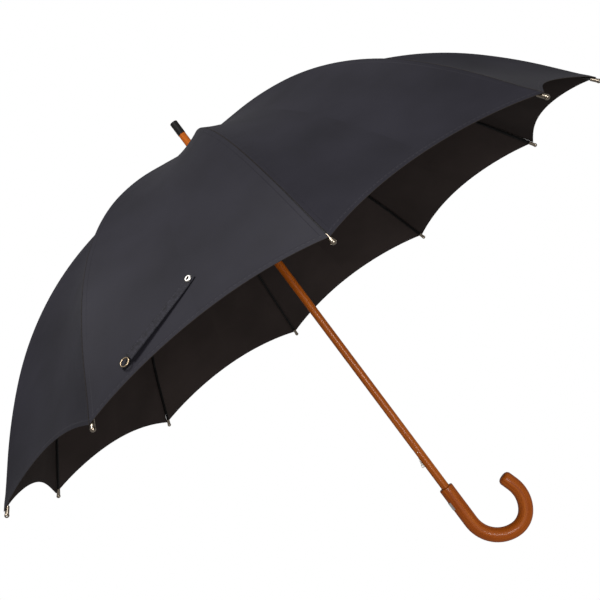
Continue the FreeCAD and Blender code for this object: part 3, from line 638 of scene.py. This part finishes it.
def make_crook():
    """Rings of points down the handle, each given its place along the grain."""
    sides = 40
    stations = [(Vector((0, 0, HANDLE_TOP)), -90.0, HANDLE_R - TOP_ROUND, 0.0)]
    for k in range(1, 5):
        a = math.radians(90 * k / 4)
        drop = TOP_ROUND * (1 - math.cos(a))
        radius = HANDLE_R - TOP_ROUND * (1 - math.sin(a))
        stations.append((Vector((0, 0, HANDLE_TOP - drop)), -90.0, radius, drop))
    run = HANDLE_TOP - STRAIGHT_END
    for k in range(1, 9):
        share = k / 8
        z = HANDLE_TOP - TOP_ROUND + (STRAIGHT_END - HANDLE_TOP + TOP_ROUND) * share
        stations.append((Vector((0, 0, z)), -90.0, HANDLE_R, HANDLE_TOP - z))
    place, heading, length = Vector((0, 0, STRAIGHT_END)), -90.0, run
    for radius, sweep in BENDS:
        centre = place + in_xz(heading + 90) * radius
        count = round(sweep / 5)
        for k in range(1, count + 1):
            h = heading + sweep * k / count
            stations.append((centre + in_xz(h - 90) * radius, h, HANDLE_R,
                             length + math.radians(sweep) * radius * k / count))
        heading += sweep
        place = centre + in_xz(heading - 90) * radius
        length += math.radians(sweep) * radius
    along = in_xz(heading)
    flat = NOSE_LENGTH - NOSE_ROUND
    stations.append((place + along * flat, heading, HANDLE_R, length + flat))
    for k in range(1, 8):
        a = math.radians(90 * k / 7)
        reach = flat + NOSE_ROUND * math.sin(a)
        radius = HANDLE_R - NOSE_ROUND * (1 - math.cos(a))
        stations.append((place + along * reach, heading, radius, length + reach))
    bm = bmesh.new()
    rings = []
    for centre, h, radius, along_grain in stations:
        ring = bmesh.ops.create_circle(bm, cap_ends=False, radius=radius, segments=sides)["verts"]
        x_axis = in_xz(h + 90)
        turn = Matrix((x_axis, Vector((0, 1, 0)), in_xz(h))).transposed()
        bmesh.ops.transform(bm, verts=ring, matrix=turn.to_4x4())
        bmesh.ops.translate(bm, verts=ring, vec=centre)
        rings.append([e for e in bm.edges if e.verts[0] in ring and e.verts[1] in ring])
    for first, second in zip(rings, rings[1:]):
        bmesh.ops.bridge_loops(bm, edges=first + second)
    bmesh.ops.contextual_create(bm, geom=rings[-1])
    inner = bmesh.ops.create_circle(bm, cap_ends=False, radius=BORE_R, segments=sides)["verts"]
    bmesh.ops.translate(bm, verts=inner, vec=Vector((0, 0, HANDLE_TOP)))
    inner_edges = [e for e in bm.edges if e.verts[0] in inner and e.verts[1] in inner]
    bmesh.ops.bridge_loops(bm, edges=rings[0] + inner_edges)
    bore = bmesh.ops.extrude_edge_only(bm, edges=inner_edges)["geom"]
    deep = [g for g in bore if isinstance(g, bmesh.types.BMVert)]
    bmesh.ops.translate(bm, verts=deep, vec=(0, 0, -BORE_DEPTH))
    bottom = [g for g in bore if isinstance(g, bmesh.types.BMEdge)]
    bmesh.ops.contextual_create(bm, geom=bottom)
    bmesh.ops.recalc_face_normals(bm, faces=bm.faces)
    lay_grain(bm, stations)
    return to_object(bm, "crook", [handle_wood])


def lay_grain(bm, stations):
    """Gives each point its place in the straight rod that the crook was bent from."""
    layer = bm.verts.layers.float_vector.new("grain_place")
    for vertex in bm.verts:
        centre, h, radius, along = min(stations, key=lambda st: (st[0] - vertex.co).length)
        out = vertex.co - centre
        vertex[layer] = Vector((out.dot(in_xz(h + 90)), out.y, along))


crook = make_crook()
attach(crook, "stick")
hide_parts("crook_handle")
print("crook:", len(crook.data.vertices), "points")

# %% [markdown]
# ## Closing strap
# A doubled strip of the same satin, about 12 mm wide and stitched along both edges,
# hangs from a snap on one gore. It is stitched down only at its root, so it stands
# further off the cloth towards its free end. A grid is laid along the line between its
# two ends, given a thickness, and drawn in a little by its stitches.

# %% Strap cloth
STRAP_STITCH_IN = 1.6 * MM
STRAP_WIDTH = 12.0 * MM


def make_strap_cloth():
    """Satin with a stitched row inside each edge and ripples across where the thread pulls."""
    material, shader = new_material("stitched_strap_satin", "#22212a", 0.65, Specular_IOR_Level=0.12)
    place = add_node(material, "ShaderNodeUVMap", {"uv_map": "UVMap"}).outputs["UV"]
    both = add_node(material, "ShaderNodeSeparateXYZ", Vector=place)
    from_middle = maths(material, "ABSOLUTE", both.outputs[0], None)
    off_row = maths(material, "ABSOLUTE",
                    maths(material, "SUBTRACT", from_middle, STRAP_WIDTH / 2 - STRAP_STITCH_IN), None)
    dash = maths(material, "PINGPONG", both.outputs[1], 1.7 * MM)
    thread = maths(material, "MULTIPLY", fade(material, off_row, 0.2 * MM, 0.5 * MM),
                   fade(material, dash, 1.0 * MM, 1.3 * MM))
    slow = add_node(material, "ShaderNodeTexNoise", {"Scale": 160.0, "Detail": 3.0}, Vector=place)
    tone = colour_ramp(material, slow.outputs[0], [(0.3, "#0f0e12"), (0.7, "#201f26")])
    link(material, mix_colour(material, thread, tone, "#2b2a30"), shader.inputs["Base Color"])
    ripple = add_node(material, "ShaderNodeMapping", {"Scale": (60.0, 420.0, 1.0)}, Vector=place)
    pulled = add_node(material, "ShaderNodeTexNoise", {"Scale": 1.0, "Detail": 2.0}, Vector=ripple.outputs[0])
    height = maths(material, "MULTIPLY_ADD", thread, 0.6, pulled.outputs[0])
    bumps = add_node(material, "ShaderNodeBump", {"Strength": 0.8, "Distance": 0.7 * MM}, Height=height)
    link(material, bumps.outputs[0], shader.inputs["Normal"])
    return material


strap_satin = make_strap_cloth()
# Woven elastic tape is the darkest, dullest cloth here. The snap's hollow is painted with it too, as painted
# shade.
black_tape_and_hollow_shade = make_plain("black_elastic_tape_and_hollow_shade", "#0d0d10", 0.8, 0.0, 300, Specular_IOR_Level=0.1)

# %% The strap's line on its gore
STRAP_GORE = 6                 # ribs passed before the gore that carries the strap
STRAP_START = (0.847, 0.063)
STRAP_END = (0.930, -0.585)
STRAP_STAND = 4.5 * MM
STRAP_THICK = 1.8 * MM
OUTER_FACE = CLOTH_RISE + 0.8 * MM
SOFT_CLEAR = 0.3 * MM
TO_STRAP = Matrix.Rotation(RIB_PHASE + STRAP_GORE * STEP, 4, "Z")


def strap_place(u):
    s, t = (a + (b - a) * u for a, b in zip(STRAP_START, STRAP_END))
    return cloth_point(s, 1 + t, OUTER_FACE), cloth_normal(s, 1 + t, 1)


def strap_frame(u):
    """Place on the cloth, outward normal, direction along the strap and across it."""
    place, normal = strap_place(u)
    along = strap_place(u + 0.02)[0] - strap_place(u - 0.02)[0]
    along = (along - normal * along.dot(normal)).normalized()
    return place, normal, along, normal.cross(along)


def strap_lift(u):
    return SOFT_CLEAR + (STRAP_STAND - SOFT_CLEAR) * u


STRAP_LENGTH = (strap_place(1.0)[0] - strap_place(0.0)[0]).length
print("strap: %.0f mm long" % (STRAP_LENGTH / MM))


# %% The strap
def make_strap():
    bm = bmesh.new()
    uv = bm.loops.layers.uv.new("UVMap")
    bmesh.ops.create_grid(bm, x_segments=8, y_segments=60, size=1.0, calc_uvs=True)
    for vertex in bm.verts:
        w, u = vertex.co.x, (vertex.co.y + 1) / 2
        place, normal, along, across = strap_frame(u)
        pulled = 0.12 * MM * math.sin(u * 90) * w * w
        narrow = 1 - 0.12 * (1 - min(1.0, u / 0.15))
        vertex.co = (place + normal * (strap_lift(u) + STRAP_THICK - 0.2 * MM + pulled)
                     + across * (STRAP_WIDTH / 2 * w * narrow))
    for face in bm.faces:
        for loop in face.loops:
            loop[uv].uv = ((loop[uv].uv.x - 0.5) * STRAP_WIDTH, loop[uv].uv.y * STRAP_LENGTH)
    outward = strap_frame(0.5)[1]
    if sum(f.normal.dot(outward) for f in bm.faces) < 0:
        bmesh.ops.reverse_faces(bm, faces=bm.faces)
    bmesh.ops.solidify(bm, geom=bm.faces[:], thickness=STRAP_THICK - 0.5 * MM)
    bmesh.ops.transform(bm, verts=bm.verts, matrix=TO_STRAP)
    return to_object(bm, "closing_strap", [strap_satin])


strap = make_strap()
fold_with(strap, STRAP_GORE, 1, "strap", S_JOINT, CLOTH_END)
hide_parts("strap")


# %% [markdown]
# ## Tail of the strap
# The inner layer of the strap runs on past its end as a narrower tongue. It passes
# below the ring and tapers, so it is drawn as a short grid that dips and narrows.

# %% The tail
TAIL_LENGTH = 19.0 * MM
TAIL_WIDTH = 7.0 * MM
TAIL_THICK = 0.8 * MM


def make_tail():
    place, normal, along, across = strap_frame(1.0)
    bm = bmesh.new()
    uv = bm.loops.layers.uv.new("UVMap")
    bmesh.ops.create_grid(bm, x_segments=6, y_segments=16, size=1.0, calc_uvs=True)
    for vertex in bm.verts:
        w, u = vertex.co.x, (vertex.co.y + 1) / 2
        dip = 4.1 * MM - 2.2 * MM * math.sin(u * math.pi / 2)
        width = TAIL_WIDTH / 2 * (1 - 0.75 * max(0.0, u - 0.45) / 0.55)
        vertex.co = place + along * (TAIL_LENGTH * u - 3 * MM) + normal * dip + across * width * w
    for face in bm.faces:
        for loop in face.loops:
            loop[uv].uv = ((loop[uv].uv.x - 0.5) * TAIL_WIDTH, loop[uv].uv.y * TAIL_LENGTH)
    if sum(f.normal.dot(normal) for f in bm.faces) < 0:
        bmesh.ops.reverse_faces(bm, faces=bm.faces)
    bmesh.ops.solidify(bm, geom=bm.faces[:], thickness=TAIL_THICK)
    bmesh.ops.transform(bm, verts=bm.verts, matrix=TO_STRAP)
    return to_object(bm, "strap_tail", [black_tape_and_hollow_shade])


tail = make_tail()
fold_with(tail, STRAP_GORE, 1, "strap", S_JOINT, CLOTH_END)
print("strap tail:", len(tail.data.vertices), "points")

# %% [markdown]
# ## Snap on the strap
# The strap buttons down with a pressed snap: a bright ring round a hollow painted black
# as painted shade. Its outline is drawn once from the middle to the rim, then spun once round.

# %% The snap
SNAP_OUTLINE = ((0.0, 0.5), (2.2, 0.5), (2.3, 1.7), (2.6, 2.1), (3.0, 2.2),
                (3.7, 2.1), (4.3, 1.7), (4.6, 0.9), (4.6, 0.0), (0.0, 0.0))
SNAP_SHARE = 0.06


def spun(outline, steps):
    """Turns an outline of (radius, height) in millimetres round the Z axis, as a closed shape."""
    bm = bmesh.new()
    points = [bm.verts.new((radius * MM, 0, height * MM)) for radius, height in outline]
    edges = [bm.edges.new(pair) for pair in zip(points, points[1:])]
    bmesh.ops.spin(bm, geom=points + edges, cent=(0, 0, 0), axis=(0, 0, 1), angle=math.tau, steps=steps,
                   use_merge=True)
    bmesh.ops.remove_doubles(bm, verts=bm.verts, dist=1e-6)
    bmesh.ops.recalc_face_normals(bm, faces=bm.faces)
    return bm


def make_snap():
    bm = spun(SNAP_OUTLINE, 40)
    # Faces down in the hollow get the black tape, as painted shade.
    for face in bm.faces:
        middle = face.calc_center_median()
        face.material_index = 1 if middle.xy.length < 2.4 * MM and middle.z > 0.3 * MM else 0
    place, normal, along, across = strap_frame(SNAP_SHARE)
    seat = place + normal * (strap_lift(SNAP_SHARE) + STRAP_THICK + SOFT_CLEAR)
    turn = Matrix((along, across, normal)).transposed().to_4x4()
    bmesh.ops.transform(bm, verts=bm.verts, matrix=TO_STRAP @ Matrix.Translation(seat) @ turn)
    bmesh.ops.recalc_face_normals(bm, faces=bm.faces)
    return to_object(bm, "strap_snap", [bright_nickel, black_tape_and_hollow_shade])


snap = make_snap()
fold_with(snap, STRAP_GORE, 1, "strap", S_JOINT, CLOTH_END)
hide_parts("strap_button")
print("snap:", len(snap.data.vertices), "points")

# %% [markdown]
# ## Ring at the strap's end
# A ring of plated wire hangs at the strap's free end. A small circle is set at the
# wire's place and spun round the ring's middle.

# %% The ring
RING_R, RING_WIRE_R, RING_CLEAR = 6.0 * MM, 1.0 * MM, 0.7 * MM


def make_ring():
    place, normal, along, across = strap_frame(1.0)
    middle = place + normal * (STRAP_STAND + STRAP_THICK / 2) + along * (RING_R + RING_WIRE_R + RING_CLEAR)
    bm = bmesh.new()
    wire = bmesh.ops.create_circle(bm, cap_ends=False, radius=RING_WIRE_R, segments=14)["verts"]
    bmesh.ops.rotate(bm, verts=wire, cent=(0, 0, 0), matrix=Matrix.Rotation(math.pi / 2, 3, "X"))
    bmesh.ops.translate(bm, verts=wire, vec=(RING_R, 0, 0))
    bmesh.ops.spin(bm, geom=bm.verts[:] + bm.edges[:], cent=(0, 0, 0), axis=(0, 0, 1),
                   angle=math.tau, steps=48, use_merge=True)
    bmesh.ops.remove_doubles(bm, verts=bm.verts, dist=1e-6)
    turn = Matrix((along, across, normal)).transposed().to_4x4()
    bmesh.ops.transform(bm, verts=bm.verts, matrix=TO_STRAP @ Matrix.Translation(middle) @ turn)
    bmesh.ops.recalc_face_normals(bm, faces=bm.faces)
    return to_object(bm, "strap_end_ring", [aged_nickel])


ring = make_ring()
fold_with(ring, STRAP_GORE, 1, "strap_ring", S_JOINT, CLOTH_END)
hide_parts("strap_ring")
print("ring:", len(ring.data.vertices), "points")

# %% [markdown]
# ## Gathered cup at the crown
# A small cup of the same cloth covers the hole where the ten gores meet round the
# stick. It is gathered, so its outline is spun round the stick and then rippled: each
# point moves up or down with its angle, more towards the rim.

# %% The crown cup
CUP_GATHERS = 20


def make_crown_cup():
    low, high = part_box("canopy_cap")
    rim, top, bottom = high.x / MM, high.z / MM, low.z / MM
    outline = ((rim, bottom), (rim, bottom + 1.3), (rim - 3.0, bottom + 2.1), (16.0, top - 3.2),
               (11.4, top - 1.6), (8.6, top - 0.9), (6.5, top - 0.1), (6.45, top - 2.2),
               (11.0, top - 2.4), (rim - 3.0, bottom + 0.4), (rim, bottom))
    bm = spun(outline, 120)
    for vertex in bm.verts:
        angle = math.atan2(vertex.co.y, vertex.co.x)
        out = (vertex.co.xy.length / MM - 6.4) / (rim - 6.4)
        vertex.co.z += 0.35 * MM * out * (1 + math.cos(angle * CUP_GATHERS)) / 2
    uv = bm.loops.layers.uv.new("UVMap")
    seam = bm.loops.layers.uv.new("SeamMap")
    for face in bm.faces:
        for loop in face.loops:
            co = loop.vert.co
            loop[uv].uv = co.xy
            loop[seam].uv = (0.1, co.xy.length * -1 + rim * MM)
    return to_object(bm, "crown_cup", [cloth_outside])


cup = make_crown_cup()
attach(cup, "stick")
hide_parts("canopy_cap")
print("crown cup:", len(cup.data.vertices), "points")

# %% [markdown]
# ## Light, floor and camera
# The floor and the surroundings are plain white. A white room would also wash out dark
# cloth, so the walls look white to the camera but light the umbrella less, and the
# floor glows white without adding to the light. A key light above and in front shapes
# the gores, and a weaker fill from low down reaches the lining, the stick and the crook.

# %% Floor and world
AMBIENT = 0.36                 # the walls light the umbrella less than they show
world = bpy.data.worlds.new("studio")
bpy.context.scene.world = world
world.use_nodes = True
background = world.node_tree.nodes["Background"]
background.inputs["Color"].default_value = (1, 1, 1, 1)
rays = world.node_tree.nodes.new("ShaderNodeLightPath")
strength = world.node_tree.nodes.new("ShaderNodeMapRange")
strength.inputs["To Min"].default_value = AMBIENT
world.node_tree.links.new(rays.outputs["Is Camera Ray"], strength.inputs["Value"])
world.node_tree.links.new(strength.outputs[0], background.inputs["Strength"])
bpy.context.scene.view_settings.view_transform = "Standard"

floor_material = bpy.data.materials.new("white_floor")
floor_material.use_nodes = True
floor_shader = floor_material.node_tree.nodes["Principled BSDF"]
floor_shader.inputs["Base Color"].default_value = (0, 0, 0, 1)
floor_shader.inputs["Specular IOR Level"].default_value = 0.0
floor_shader.inputs["Emission Color"].default_value = (1, 1, 1, 1)
floor_shader.inputs["Emission Strength"].default_value = 1.0
bm = bmesh.new()
bmesh.ops.create_grid(bm, x_segments=1, y_segments=1, size=12.0)
bmesh.ops.translate(bm, verts=bm.verts, vec=(0, 0, cad_box[0][2] - 0.002))
floor = to_object(bm, "floor", [floor_material], smooth=False)
floor.visible_diffuse = False
floor.visible_glossy = False


# %% Soft lights
def area_light(name, place, target, size, power):
    data = bpy.data.lights.new(name, "AREA")
    data.shape = "DISK"
    data.size = size
    data.energy = power
    lamp = bpy.data.objects.new(name, data)
    bpy.context.scene.collection.objects.link(lamp)
    lamp.location = place
    lamp.rotation_euler = (Vector(target) - Vector(place)).to_track_quat("-Z", "Y").to_euler()
    return lamp


area_light("key_light", (-0.3, -1.4, 3.0), (0, 0, 0.5), 1.6, 112)
area_light("fill_light", (0.5, -2.4, 0.15), (0.05, 0, 0.1), 0.9, 42)

# %% Camera
TIP_RADIUS = 575.0 * MM
TIP_PLANE = 407.0 * MM
LENS_MM = 58.8
ELEVATION, DISTANCE, PAN, TILT, ROLL = -0.0679, 2.8317 * TIP_RADIUS, -0.0047, 0.0748, -0.641
place = Vector((0, -DISTANCE * math.cos(ELEVATION), DISTANCE * math.sin(ELEVATION) + TIP_PLANE))
forward = Vector((math.cos(TILT) * math.sin(PAN), math.cos(TILT) * math.cos(PAN), math.sin(TILT)))
right = forward.cross(Vector((0, 0, 1))).normalized()
up = right.cross(forward)
rolled_right = right * math.cos(ROLL) + up * math.sin(ROLL)
rolled_up = up * math.cos(ROLL) - right * math.sin(ROLL)
camera_data = bpy.data.cameras.new("camera")
camera_data.sensor_width = 36.0
camera_data.lens = LENS_MM
camera = bpy.data.objects.new("camera", camera_data)
camera.matrix_world = Matrix((rolled_right, rolled_up, -forward)).transposed().to_4x4()
camera.location = place
bpy.context.scene.collection.objects.link(camera)
bpy.context.scene.camera = camera
